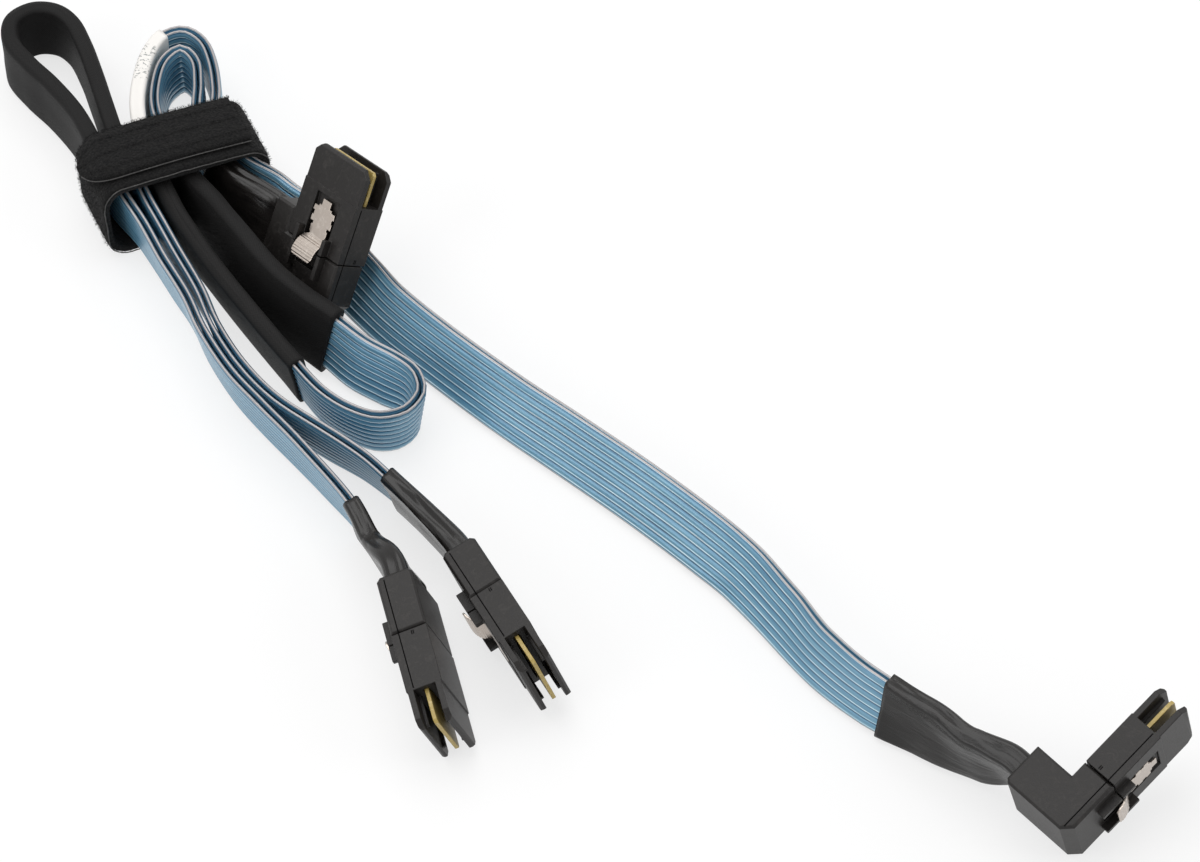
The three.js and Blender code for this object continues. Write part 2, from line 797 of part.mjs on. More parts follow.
// The strap's outline across the bundle, as a closed loop of points at an inset from its outer face
function strapLoop(inset) {
  const w = STRAP_HALF_ACROSS - inset;
  const top = STRAP_HEIGHT - inset;
  const low = inset;
  const r = 5 - inset * 0.6;
  const points = [];
  const corners = [
    [w - r, top - r, 0],
    [-w + r, top - r, 90],
    [-w + r, low + r, 180],
    [w - r, low + r, 270],
  ];
  for (const [cx, cz, start] of corners) {
    for (let k = 0; k <= 3; k++) {
      const angle = THREE.MathUtils.degToRad(start + k * 30);
      points.push([cx + r * Math.cos(angle), cz + r * Math.sin(angle)]);
    }
  }
  return points;
}

function strapBand() {
  const rings = (inset) =>
    [-1, 0, 1].map((end) => strapLoop(inset).map(([a, h]) => strapPoint(a, h, (end * STRAP_BAND) / 2)));
  return tubeWall(rings(0), rings(STRAP_THICKNESS));
}
part.add(named("strap_band", strapBand(), strapBlack));

export default part;
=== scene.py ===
"""Looks of a strapped bundle of two flat blue storage cables with four plugs. The scene is in metres."""

import math

import bpy
import numpy as np
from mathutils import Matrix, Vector


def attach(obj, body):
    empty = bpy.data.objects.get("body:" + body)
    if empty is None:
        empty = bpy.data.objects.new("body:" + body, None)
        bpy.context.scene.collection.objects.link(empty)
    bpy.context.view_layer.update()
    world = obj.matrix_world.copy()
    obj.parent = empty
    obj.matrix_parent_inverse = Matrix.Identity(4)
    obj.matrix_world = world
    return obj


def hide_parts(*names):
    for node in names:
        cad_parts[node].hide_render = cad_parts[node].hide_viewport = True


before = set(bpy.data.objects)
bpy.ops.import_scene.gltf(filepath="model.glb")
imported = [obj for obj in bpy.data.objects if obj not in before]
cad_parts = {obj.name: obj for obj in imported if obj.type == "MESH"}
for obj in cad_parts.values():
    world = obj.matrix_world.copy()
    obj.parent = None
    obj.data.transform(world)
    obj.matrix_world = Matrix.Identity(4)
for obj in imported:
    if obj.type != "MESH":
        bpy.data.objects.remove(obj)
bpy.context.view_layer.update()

# All lengths below are in millimetres, apart from the camera's and the lamps'
MM = 0.001
BUNDLE = "bundle"
UP = np.array([0, 0, 1.0])

# From the point on the table under the middle of the picture to the part's own origin
ORIGIN_SHIFT = np.array([10.0, 0.1, 0.0])

# No vertex of the strap goes lower than this
TABLE_CLEARANCE = 0.02

# Camera: it looks down on the table from the front
CAMERA_ELEVATION = math.radians(52)
CAMERA_DISTANCE = 1.15
CAMERA_LENS_MM = 135.24

# Flat ribbon
RIBBON_WIDTH = 17.0
RIBBON_THICKNESS = 1.3
RIBBON_SPACING = 1.75
RIBBON_RIDGES = 8
RIBBON_MARGIN = 0.55
RIBBON_VALLEY = 0.66
RIDGE_FULLNESS = 0.55
RIM_WIDTH = 0.18
RIM_HALF_HEIGHTS = (0.12, 0.3)
RING_STEP = 2.0

# Level over one ridge, by the share of its width: painted shade in the groove, a painted highlight line,
# then the flat blue top
RIDGE_LEVELS_WITH_PAINTED_LIGHT = ((0.0, 0.0), (0.1, 0.3), (0.18, 0.9), (0.3, 0.82), (0.4, 0.48), (0.7, 0.52), (0.9, 0.3))
RIM_SHADE = 1.7

# The second ribbon reads its streaks this far away from the first one's, in metres
STREAK_SHIFT = 0.05

# Pieces wrapped round a pair of ribbons
GAP = 0.3
PAIR_THICKNESS = RIBBON_SPACING + RIBBON_THICKNESS
BOOT_WALL = 0.6
BOOT_FULLNESS = 2.2
BOOT_CORNER = 1.4
BOOT_CORNER_GROWTH = 0.4
BOOT_LENGTH = {"right": 42, "upper": 30, "left": 34, "middle": 34}
SLEEVE_WALL = 0.5
SLEEVE_CORNER = 1.6
SLEEVE_FLARE = 2.4
LABEL_THICKNESS = 0.25
LABEL_CORNER = 1.0

# Places on the routes, counted in points from the plug: start and end, and the growth of a flared start
SLEEVES = {"loop": (12, 26, 0), "narrow": (28, 34, 0), "wide": (43, 49, SLEEVE_FLARE)}
LABEL_SPAN = (24, 27.7)
LABEL_SPECKS = (0.15, 0.5)

# Skin of a wrapped piece: ring distance, points of a ring, and how far its ends turn in
WRAP_STEP = 0.9
WRAP_POINTS = 72
WRAP_LIP = 0.86

# Wrinkles: how long each finer layer runs along the piece, how much it sways, and where crests flatten
WRINKLE_LENGTHS = (24.0, 13.0, 6.0, 3.0)
WRINKLE_SWAY = 1.3
WRINKLE_CREST = 0.6

# Latch, in the plug's own frame: half outline of the plate as place along the plug and half width
LATCH_SHEET = 0.5
LATCH_OUTLINE = (
    (-12.5, 1.7), (-14.3, 1.7), (-14.3, 2.6), (-14.9, 2.6), (-14.9, 4.2), (-16.4, 4.4), (-16.4, 3.7),
    (-17.6, 3.7), (-17.6, 4.2), (-19.2, 4.2), (-19.2, 2.9), (-20, 2.9), (-20, 3.4), (-21.6, 3.4),
    (-22.9, 2.7),
)
LATCH_TAB_START = -22.4
LATCH_TAB_LENGTH = 7.5
LATCH_TAB_RINGS = 25
LATCH_GROOVE_DEPTH = 0.07
LATCH_GROOVE_TURN = 60
LATCH_BEVEL = 0.08

# The tab by share of its length: how steeply it leaves the plate, in degrees, and its half width
LATCH_TAB_SLOPES = ((0, 0.25, 0.6, 1), (10, 58, 22, 0))
LATCH_TAB_HALF_WIDTHS = ((0, 0.12, 0.85, 1), (2.6, 4.2, 4.2, 3.4))

# Parting lines on the narrow faces of a plug, and the two small peg marks behind the nose, drawn as
# near-black strips of painted shade for their grooves
PLATE_THICKNESS = 1.9
PARTING_WIDTH = 0.3
PARTING_SUNK = 0.1
PARTING_PROUD = 0.02
PARTING_SETBACK = 1.2
HOOD_SETBACK = 3
NOSE_SETBACK = 0.5
PEG_MARK_SPAN = (0.5, 1.6)
PEG_MARK_RISES = (0.5, 0.95)
PEG_MARK_WIDTH = 0.25

# Softened edges of the plugs
HOUSING_BEVEL = 0.5
CARD_BEVEL = 0.12
WELD_DISTANCE = 0.01

# Strap: a band round the bundle, and a second layer over its top that ends in a rounded tail
STRAP_MIDDLE = np.array([-112.1, 76.4, 0])
STRAP_AXIS = np.array([0.42, -0.9075, 0])
STRAP_SIDEWAYS = np.array([0.9075, 0.42, 0])
STRAP_HALF_ACROSS = 23.2
STRAP_HEIGHT = 24.0
STRAP_BAND = 20.0
STRAP_THICKNESS = 1.8
STRAP_CORNER = 6.5
STRAP_CORNER_POINTS = 13
STRAP_INNER_CORNER = 0.6
STRAP_OUTLINE_POINTS = 96
STRAP_RINGS = 29
STRAP_CROWN = 0.8
STRAP_SKEW = 1.6
STRAP_EDGE_WEAR = 0.45
STRAP_BUMPS = 0.12
TAIL_THICKNESS = 1.3
TAIL_BAND = 16.5
TAIL_OVERHANG = 1.6
TAIL_SHORT = 4
TAIL_BACK = 1.3
TAIL_DROP = 3.2
TAIL_LIFT = 0.15
TAIL_RINGS = 60

# The tail's section, as shares of its half width and of its thickness, and its front edge in that list
TAIL_SECTION = np.array(
    [(-1, 0), (-1, 0.6), (-0.93, 0.92), (-0.6, 1), (0, 1.04), (0.6, 1), (0.93, 0.92), (1, 0.6), (1, 0)])
TAIL_FRONT = 7
THREAD_RADIUS = 0.2
THREAD_OFFSET = 0.45

# Fibres of the pile
BAND_FIBRES = 16000
TAIL_FIBRES = 7000
BAND_FIBRE_LENGTH = 0.85
TAIL_FIBRE_LENGTH = 0.8
FIBRE_HALF_WIDTH = 0.05
FIBRE_SCATTER = 0.35
FIBRE_LEAN = 0.9

# Plug heads, as points and directions: the nose tip's middle, the nose and the thickness direction
PLUG_WIDTH = 22.0
BODY_THICKNESS = 9.2
NOSE_LENGTH = 9.8
BLOCK_LENGTH = 15.8
REAR_LENGTH = 16.0
SIDE_REAR_LENGTH = 13.6
HOOD_WIDTH = 11.5
HOOD_RISE = 11.0
SIDE_HOOD_RISE = 8.0
SIDE_HOOD_LENGTH = 20.6
MOUTH_DEPTH = 2.0
BLOCK_REAR = -(NOSE_LENGTH + BLOCK_LENGTH)
PLUG_REAR = BLOCK_REAR - GAP - REAR_LENGTH
SIDE_REAR = BLOCK_REAR - GAP - SIDE_REAR_LENGTH
PLUGS = {
    "right": ([137, -102.5, 23.73], [0.7, 0.64, 0.32], [-0.75, 0.66, 0.04], "top"),
    "upper": ([-62.5, 58.5, 39], [0.32, 0.535, 0.78], [0.7, 0.39, -0.59], "side"),
    "left": ([-36.4, -102.3, 11.44], [0.257, -0.959, -0.121], [0.927, 0.209, 0.312], "rear"),
    "middle": ([-13, -89, 15.52], [0.452, -0.887, 0.096], [0.845, 0.46, 0.273], "rear"),
}

# Where a cable leaves each kind of plug: the point, the way out, and the way its width lies
EXITS = {
    "rear": ([PLUG_REAR, 0, 0], [-1, 0, 0], [0, 0, 1]),
    "top": ([PLUG_REAR + HOOD_WIDTH / 2, BODY_THICKNESS / 2 + HOOD_RISE, 0], [0, 1, 0], [0, 0, 1]),
    "side": ([SIDE_REAR + SIDE_HOOD_LENGTH / 2, 0, PLUG_WIDTH / 2 + SIDE_HOOD_RISE], [0, 0, 1], [1, 0, 0]),
}

# Routes on the table: x, y, height of the pair's middle, and lean of its top edge to the left of the
# way the route runs, in degrees. Each starts and ends with a straight run out of its plug.
EXIT_RUN = 6
ROUTE_A = [
    (-53.5, -47.5, 10, 16), (-60.5, -34.5, 9.9, 12), (-69.5, -22, 9.2, 10), (-77, -12.5, 9.1, 9),
    (-84.5, -3.5, 9.1, 9), (-92.8, 7.3, 9.1, 10), (-100.4, 20.7, 9.1, 10), (-105.2, 32, 9.2, 10),
    (-111.4, 43, 9.5, 9), (-119.8, 58, 10.8, 6), (-127.8, 70, 11.4, 0), (-133, 81, 11.4, 0),
    (-138.5, 92.5, 10.5, 0), (-146, 103.5, 9.7, 0), (-153, 111.5, 9.6, 0), (-158.3, 119.5, 9.6, 0),
    (-158.3, 127, 9.6, 0), (-153.3, 131, 9.6, 0), (-147.3, 130.6, 9.6, 0), (-142.5, 126.5, 9.6, 0),
    (-138.6, 118.5, 9.6, 0), (-134.8, 107.5, 10, 0), (-130.6, 94, 10.8, 0), (-127, 83, 11.4, 0),
    (-121.7, 71.5, 11.4, -2), (-115.6, 60, 10.8, -7), (-107.5, 45, 9.5, -9), (-101.7, 34, 9.2, -10),
    (-97, 22.2, 9.1, -10), (-89.6, 9.2, 9.1, -10), (-81, -1.2, 9.1, -10), (-70, -9.8, 9.1, -11),
    (-58.5, -18.5, 9.2, -14), (-49, -28.5, 9.6, -16),
]
ROUTE_B = [
    (90, -107, 11.6, 8), (78, -98, 10.1, -6), (65, -88.5, 9.3, -16), (53.5, -76.5, 8.6, -20),
    (44.5, -63.5, 8.4, -26), (35, -50.5, 8.15, -31), (26.5, -41.5, 7.95, -34), (10, -26, 7.95, -34),
    (-8, -10.5, 7.95, -33), (-23, 2, 8.15, -31), (-41, 18.5, 8.2, -29), (-54, 31.5, 8, -32),
    (-62, 41.8, 7.6, -38), (-69.5, 52, 7.35, -42), (-77.5, 61.5, 7.35, -42), (-85.8, 69, 8.4, -34),
    (-95.4, 79, 11.2, -6), (-101.2, 90.5, 11.2, 0), (-102, 101, 10.2, 0), (-103.8, 112, 9.4, 0),
    (-107, 120, 9.2, 0), (-112, 123.6, 9.2, 0), (-117.4, 121.6, 9.2, 0), (-120.8, 115, 9.4, 0),
    (-122.6, 104, 9.8, 0), (-122.4, 93.5, 10.6, 0), (-119.6, 81, 11.4, 0), (-114.2, 68, 11.4, -3),
    (-107.9, 56.6, 10.4, -8), (-98.4, 41.6, 9.6, -10), (-88.8, 27.2, 9.6, -10), (-81, 16, 9.6, -10),
    (-76, 9, 9.5, -9), (-70, 1.4, 9, -8), (-63.2, -4, 8.8, -8), (-56, -6.8, 8.7, -8),
    (-49.6, -5.2, 8.7, -8), (-46.2, 0.4, 8.7, -8), (-48.4, 6.6, 8.7, -10), (-54.4, 10.6, 8.8, -16),
    (-61.5, 15, 9.2, -17), (-68.6, 21, 10.5, -15), (-76.4, 27.6, 10.8, -13), (-84.7, 36.2, 10.8, -12),
    (-92.4, 47, 10.9, -11), (-99.8, 59, 11.2, -7), (-107.4, 70.8, 11.4, -2), (-113.4, 82.5, 11.4, 0),
    (-117.6, 94, 10.4, 0), (-118.2, 104.5, 9.6, 0), (-116.4, 113, 9.2, 0), (-112.4, 116.8, 9.2, 0),
    (-108.4, 112.6, 9.2, 0), (-107, 103, 9.8, 0), (-106.6, 92.5, 10.8, 0), (-103.8, 81.5, 11.6, 4),
    (-98.8, 71.4, 11.6, 20),
]

# A curve is measured in this many short steps between two points of its route
FINE_STEPS = 60

# Stage: half size of the table and its drop below the part, and the lamps with place, size and power
TABLE_HALF = 3000
TABLE_DROP = 0.05
LAMPS = (
    ("overhead", (-0.25, 0.35, 1.3), 1.4, 14.0),
    ("front_left", (-1.1, -0.7, 0.9), 0.9, 6.0),
    ("right", (1.2, -0.2, 0.8), 0.8, 4.0),
)


def unit(v):
    """Vectors scaled to length 1."""
    return v / np.linalg.norm(v, axis=-1, keepdims=True)


def running_length(points):
    """The distance of each point from the first one, along the line through them."""
    return np.concatenate([[0], np.cumsum(np.linalg.norm(np.diff(points, axis=0), axis=1))])


def add_camera():
    data = bpy.data.cameras.new("camera")
    data.sensor_width = 36
    data.lens = CAMERA_LENS_MM
    camera = bpy.data.objects.new("camera", data)
    away = Vector((0, -math.cos(CAMERA_ELEVATION), math.sin(CAMERA_ELEVATION)))
    camera.location = Vector(ORIGIN_SHIFT * MM) + away * CAMERA_DISTANCE
    camera.rotation_euler = (math.radians(90) - CAMERA_ELEVATION, 0, 0)
    bpy.context.collection.objects.link(camera)
    bpy.context.scene.camera = camera


class PlugFrame:
    """A plug's own directions: x out of the nose, -y out of the latch face, z across."""

    def __init__(self, tip, nose, thick, exit_kind):
        self.x = unit(np.array(nose, float))
        self.z = unit(np.cross(self.x, np.array(thick, float)))
        self.y = np.cross(self.z, self.x)
        self.tip = np.array(tip, float) + ORIGIN_SHIFT
        self.kind = exit_kind

    def turn(self, v):
        v = np.asarray(v, float)
        return v[..., 0:1] * self.x + v[..., 1:2] * self.y + v[..., 2:3] * self.z

    def place(self, p):
        return self.tip + self.turn(p)

    def exit(self):
        """Where the cable starts inside the mouth, the way it leaves, and the way its width lies."""
        point, out, across = EXITS[self.kind]
        out = self.turn(out)
        return self.place(point) - out * (MOUTH_DEPTH - GAP), out, self.turn(across)


class Strand:
    """One cable's middle line and width direction. The place u counts the points of the route."""

    def __init__(self, start, route, end):
        (p0, out0, across0), (p1, out1, across1) = start, end
        route = np.array(route, float)
        middle = route[:, :3] + ORIGIN_SHIFT
        self.points = np.vstack([p0, p0 + EXIT_RUN * out0, middle, p1 + EXIT_RUN * out1, p1])
        self.last = len(self.points) - 1
        leans = np.radians(route[:, 3])
        along = self.tangent(np.arange(2, self.last - 1, dtype=float))
        left = unit(np.cross([0, 0, 1], along))
        upright = np.cross(along, left)
        leaned = upright * np.cos(leans)[:, None] + left * np.sin(leans)[:, None]
        self.widths = np.vstack([across0, across0, leaned, across1, across1])

    def pieces(self, u):
        """Cubic coefficients of the centripetal curve at each place, and the share within it."""
        i = np.clip(np.floor(u).astype(int), 0, self.last - 1)
        t = (u - i)[:, None]
        p = self.points
        padded = np.vstack([2 * p[0] - p[1], p, 2 * p[-1] - p[-2]])
        x0, x1, x2, x3 = (padded[i + k] for k in range(4))
        d0, d1, d2 = (
            np.sqrt(np.linalg.norm(b - a, axis=1, keepdims=True)) for a, b in ((x0, x1), (x1, x2), (x2, x3))
        )
        t1 = ((x1 - x0) / d0 - (x2 - x0) / (d0 + d1) + (x2 - x1) / d1) * d1
        t2 = ((x2 - x1) / d1 - (x3 - x1) / (d1 + d2) + (x3 - x2) / d2) * d1
        return x1, t1, -3 * x1 + 3 * x2 - 2 * t1 - t2, 2 * x1 - 2 * x2 + t1 + t2, t

    def point(self, u):
        c0, c1, c2, c3, t = self.pieces(u)
        return c0 + t * (c1 + t * (c2 + t * c3))

    def tangent(self, u):
        _, c1, c2, c3, t = self.pieces(u)
        return unit(c1 + t * (2 * c2 + t * 3 * c3))

    def frames(self, u):
        """Middle, width direction and thickness direction at each place."""
        i = np.clip(np.floor(u).astype(int), 0, self.last - 1)
        t = (u - i)[:, None]
        ease = t * t * (3 - 2 * t)
        along = self.tangent(u)
        across = self.widths[i] * (1 - ease) + self.widths[i + 1] * ease
        across = unit(across - along * (across * along).sum(1, keepdims=True))
        return self.point(u), across, np.cross(across, along)

    def walk(self, start, end, step):
        """Places from start to end at even distances, and the distance of each from the start."""
        fine = np.linspace(start, end, int((end - start) * FINE_STEPS) + 2)
        run = running_length(self.point(fine))
        even = np.linspace(0, run[-1], max(2, int(run[-1] / step) + 1))
        return np.interp(even, run, fine), even

    def place_at(self, distance):
        """The place that lies a given distance from the start, or from the end where it is negative."""
        fine = np.linspace(0, self.last, self.last * FINE_STEPS + 1)
        run = running_length(self.point(fine))
        return float(np.interp(distance if distance >= 0 else run[-1] + distance, run, fine))


# Meshes
def make_mesh(name, points, faces, material, uv=None, mask=None, smooth=True):
    """A mesh object from points in millimetres, with a coordinate map and a mask for each point."""
    mesh = bpy.data.meshes.new(name)
    mesh.from_pydata((np.asarray(points) * MM).tolist(), [], [list(map(int, f)) for f in faces])
    mesh.polygons.foreach_set("use_smooth", np.full(len(mesh.polygons), smooth))
    if uv is not None:
        loops = np.zeros(len(mesh.loops), int)
        mesh.loops.foreach_get("vertex_index", loops)
        layer = mesh.uv_layers.new(name="run")
        layer.data.foreach_set("uv", np.asarray(uv, np.float32)[loops].ravel())
    if mask is not None:
        layer = mesh.attributes.new("mask", "FLOAT", "POINT")
        layer.data.foreach_set("value", np.asarray(mask, np.float32).ravel())
    mesh.materials.append(material)
    mesh.update()
    piece = bpy.data.objects.new(name, mesh)
    bpy.context.collection.objects.link(piece)
    return piece


def loft(rings, closed_ends=True):
    """Faces of a skin through rings of points, all with the same number of points."""
    count, size = len(rings), len(rings[0])
    r = np.arange(count - 1)[:, None] * size
    k = np.arange(size)[None, :]
    n = (k + 1) % size
    faces = np.stack([r + k, r + n, r + size + n, r + size + k], axis=-1).reshape(-1, 4).tolist()
    if closed_ends:
        faces.append(list(range(size))[::-1])
        faces.append([(count - 1) * size + j for j in range(size)])
    return faces


def joined(*parts):
    """Points and faces of several meshes as one. Each part is given as its points and its faces."""
    points, faces, first = [], [], 0
    for part_points, part_faces in parts:
        part_points = np.asarray(part_points, float).reshape(-1, 3)
        faces += [[first + k for k in face] for face in part_faces]
        points.append(part_points)
        first += len(part_points)
    return np.concatenate(points), faces


def run_map(run, around):
    """A coordinate map for rings of points: metres along the piece and metres round it."""
    return np.stack(np.broadcast_arrays(run[:, None] * MM, around[None, :] * MM), axis=-1)


def soften(piece, width, segments):
    bevel = piece.modifiers.new("soft edges", "BEVEL")
    bevel.width = width * MM
    bevel.segments = segments
    bevel.limit_method = "ANGLE"
    return bevel


def smooth_noise(seed, count, spacing):
    """Soft random values along a line, one for each point, between about -1 and 1."""
    rng = np.random.default_rng(seed)
    knots = rng.uniform(-1, 1, max(4, int(count / spacing) + 3))
    x = np.linspace(0, len(knots) - 1, count)
    i = np.clip(x.astype(int), 0, len(knots) - 2)
    t = x - i
    ease = t * t * (3 - 2 * t)
    return knots[i] * (1 - ease) + knots[i + 1] * ease


# Nodes
def new_material(name):
    material = bpy.data.materials.new(name)
    material.use_nodes = True
    nodes = material.node_tree.nodes
    return material, nodes, material.node_tree.links, nodes["Principled BSDF"]


def set_inputs(node, **values):
    """Values on a node's own sockets, whose names are given with underscores for spaces."""
    for title, value in values.items():
        node.inputs[title.replace("_", " ")].default_value = value


def group_tree(name, inputs, outputs):
    """A shader node group with named number sockets. The inputs come with their defaults."""
    tree = bpy.data.node_groups.new(name, "ShaderNodeTree")
    for title, default in inputs.items():
        socket = tree.interface.new_socket(title, in_out="INPUT", socket_type="NodeSocketFloat")
        socket.default_value = default
    for title in outputs:
        tree.interface.new_socket(title, in_out="OUTPUT", socket_type="NodeSocketFloat")
    return tree, tree.nodes.new("NodeGroupInput"), tree.nodes.new("NodeGroupOutput")


def add_group(nodes, tree, **values):
    node = nodes.new("ShaderNodeGroup")
    node.node_tree = tree
    set_inputs(node, **values)
    return node


def math_node(nodes, links, operation, *values, clamp=False):
    """A sum of numbers and of other nodes' outputs."""
    node = nodes.new("ShaderNodeMath")
    node.operation = operation
    node.use_clamp = clamp
    for socket, value in zip(node.inputs, values):
        if isinstance(value, (int, float)):
            socket.default_value = value
        else:
            links.new(value, socket)
    return node.outputs[0]


def noise_node(nodes, links, vector, **values):
    node = nodes.new("ShaderNodeTexNoise")
    set_inputs(node, **values)
    links.new(vector, node.inputs["Vector"])
    return node.outputs["Fac"]


def own_place(nodes):
    return nodes.new("ShaderNodeTexCoord").outputs["Object"]


def place_on_run(nodes, links, stretch):
    """The place along and round a piece, stretched by its own factor each way."""
    place = nodes.new("ShaderNodeUVMap")
    place.uv_map = "run"
    mapping = nodes.new("ShaderNodeMapping")
    mapping.inputs["Scale"].default_value = stretch
    links.new(place.outputs["UV"], mapping.inputs["Vector"])
    return mapping.outputs["Vector"]


def piece_mask(nodes):
    mask = nodes.new("ShaderNodeAttribute")
    mask.attribute_name = "mask"
    return mask.outputs["Fac"]


def paint(nodes, links, shader, value, *stops):
    """Base colour from a value, by a ramp of stops, each a position and a colour."""
    node = nodes.new("ShaderNodeValToRGB")
    elements = node.color_ramp.elements
    while len(elements) < len(stops):
        elements.new(0.5)
    for element, (position, color) in zip(elements, stops):
        element.position = position
        element.color = (*color, 1)
    links.new(value, node.inputs["Fac"])
    links.new(node.outputs["Color"], shader.inputs["Base Color"])


def roughen(nodes, links, shader, value, gain, base):
    links.new(math_node(nodes, links, "MULTIPLY_ADD", value, gain, base), shader.inputs["Roughness"])


def bump_into(nodes, links, shader, height, strength, distance):
    bump = nodes.new("ShaderNodeBump")
    set_inputs(bump, Strength=strength, Distance=distance)
    links.new(height, bump.inputs["Height"])
    links.new(bump.outputs["Normal"], shader.inputs["Normal"])


def grain_group():
    """Fine moulded grain with scuffs: a mask of pale marks, and a height for a bump."""
    tree, source, sink = group_tree(
        "Moulded grain",
        {"Grain Scale": 2500.0, "Scuff Scale": 260.0, "Scuff Amount": 0.3},
        ["Scuffs", "Height"],
    )
    nodes, links = tree.nodes, tree.links
    place = own_place(nodes)
    grain = noise_node(nodes, links, place, Detail=3)
    links.new(source.outputs["Grain Scale"], grain.node.inputs["Scale"])
    scuff = noise_node(nodes, links, place, Detail=8, Roughness=0.7, Distortion=1.2)
    links.new(source.outputs["Scuff Scale"], scuff.node.inputs["Scale"])
    raised = math_node(nodes, links, "SUBTRACT", scuff, 0.52)
    sharp = math_node(nodes, links, "MULTIPLY", raised, 6.0, clamp=True)
    scuffs = math_node(nodes, links, "MULTIPLY", sharp, source.outputs["Scuff Amount"])
    links.new(scuffs, sink.inputs["Scuffs"])
    links.new(grain, sink.inputs["Height"])
    return tree


def weave_group():
    """A plain weave that follows a piece's own map, as a mask of the raised yarns."""
    tree, source, sink = group_tree(
        "Tape weave",
        {"Yarns Along": 2200.0, "Yarns Across": 2200.0},
        ["Yarns"],
    )
    nodes, links = tree.nodes, tree.links
    place = nodes.new("ShaderNodeUVMap")
    place.uv_map = "run"
    split = nodes.new("ShaderNodeSeparateXYZ")
    links.new(place.outputs["UV"], split.inputs[0])
    waves = []
    for axis, title in (("X", "Yarns Along"), ("Y", "Yarns Across")):
        turned = math_node(nodes, links, "MULTIPLY", split.outputs[axis], source.outputs[title])
        waves.append(math_node(nodes, links, "SINE", turned))
    both = math_node(nodes, links, "MULTIPLY", *waves)
    links.new(math_node(nodes, links, "MULTIPLY_ADD", both, 0.5, 0.5), sink.inputs["Yarns"])
    return tree


GRAIN = grain_group()
WEAVE = weave_group()


# Materials
def housing_plastic():
    material, nodes, links, shader = new_material("charcoal housing")
    grain = add_group(nodes, GRAIN, Grain_Scale=2600.0, Scuff_Scale=420.0, Scuff_Amount=0.3)
    scuffs = grain.outputs["Scuffs"]
    paint(nodes, links, shader, scuffs, (0.0, (0.0105, 0.0092, 0.0085)), (1.0, (0.062, 0.057, 0.053)))
    roughen(nodes, links, shader, scuffs, 0.25, 0.46)
    set_inputs(shader, Specular_IOR_Level=0.3)
    bump_into(nodes, links, shader, grain.outputs["Height"], 0.35, 0.0001)
    return material


def latch_steel():
    material, nodes, links, shader = new_material("stamped spring steel")
    grain = add_group(nodes, GRAIN, Grain_Scale=1800.0, Scuff_Scale=500.0, Scuff_Amount=0.6)
    scuffs = grain.outputs["Scuffs"]
    paint(nodes, links, shader, scuffs, (0.0, (0.5, 0.44, 0.39)), (1.0, (0.72, 0.66, 0.6)))
    roughen(nodes, links, shader, scuffs, 0.15, 0.3)
    set_inputs(shader, Metallic=1.0)
    bump_into(nodes, links, shader, grain.outputs["Height"], 0.15, 0.00005)
    return material


def card_board():
    material, nodes, links, shader = new_material("circuit board")
    grain = add_group(nodes, GRAIN, Grain_Scale=3000.0, Scuff_Scale=600.0, Scuff_Amount=0.8)
    scuffs = grain.outputs["Scuffs"]
    paint(nodes, links, shader, scuffs, (0.0, (0.38, 0.28, 0.08)), (1.0, (0.62, 0.5, 0.24)))
    set_inputs(shader, Roughness=0.42)
    bump_into(nodes, links, shader, grain.outputs["Height"], 0.2, 0.00005)
    return material


def parting_shadow():
    material, nodes, links, shader = new_material("parting line")
    grain = add_group(nodes, GRAIN, Grain_Scale=2600.0, Scuff_Scale=240.0, Scuff_Amount=0.2)
    scuffs = grain.outputs["Scuffs"]
    # Near-black painted shade for the parting grooves and peg marks, varied a little by the scuff mask.
    paint(nodes, links, shader, scuffs, (0.0, (0.002, 0.002, 0.002)), (1.0, (0.012, 0.011, 0.011)))
    set_inputs(shader, Roughness=0.95, Specular_IOR_Level=0.05)
    return material


def ribbon_jacket():
    """Clear blue jacket over silver foil: painted shade in the grooves, painted highlight lines, blue tops
    and greyish rims.
    """
    material, nodes, links, shader = new_material("blue ribbon jacket")
    place = place_on_run(nodes, links, (38.0, 2600.0, 1.0))
    streaks = noise_node(nodes, links, place, Scale=1.0, Detail=6, Roughness=0.62)
    lift = math_node(nodes, links, "MULTIPLY_ADD", streaks, 0.8, -0.4)
    level = math_node(nodes, links, "ADD", piece_mask(nodes), lift, clamp=True)
    # The ramp paints light: painted shade in the grooves at 0, the jacket's own blue tops in the middle, a
    # painted highlight at 0.88 and the rims' own greyish colour at 1. The streak noise moves the level at
    # random, so some streaks also reach the painted highlight or the painted shade.
    paint(
        nodes, links, shader, level,
        (0.0, (0.015, 0.06, 0.12)), (0.3, (0.07, 0.19, 0.3)), (0.55, (0.14, 0.31, 0.43)),
        (0.75, (0.34, 0.57, 0.68)), (0.88, (0.72, 0.9, 0.97)), (1.0, (0.33, 0.31, 0.31)),
    )
    roughen(nodes, links, shader, streaks, 0.3, 0.22)
    set_inputs(shader, Metallic=0.3, Coat_Weight=0.5, Coat_Roughness=0.16)
    bump_into(nodes, links, shader, streaks, 0.35, 0.00012)
    return material


def heat_shrink():
    material, nodes, links, shader = new_material("wrinkled shrink tube")
    place = place_on_run(nodes, links, (90.0, 420.0, 1.0))
    wrinkles = noise_node(nodes, links, place, Scale=1.0, Detail=7, Distortion=0.8)
    # The colour follows the wrinkle height that also drives the bump: painted shade in the creases, lighter
    # on the crests.
    paint(nodes, links, shader, wrinkles, (0.3, (0.0045, 0.004, 0.0038)), (0.8, (0.016, 0.0142, 0.013)))
    set_inputs(shader, Roughness=0.27, Specular_IOR_Level=0.33)
    bump_into(nodes, links, shader, wrinkles, 0.5, 0.0005)
    return material


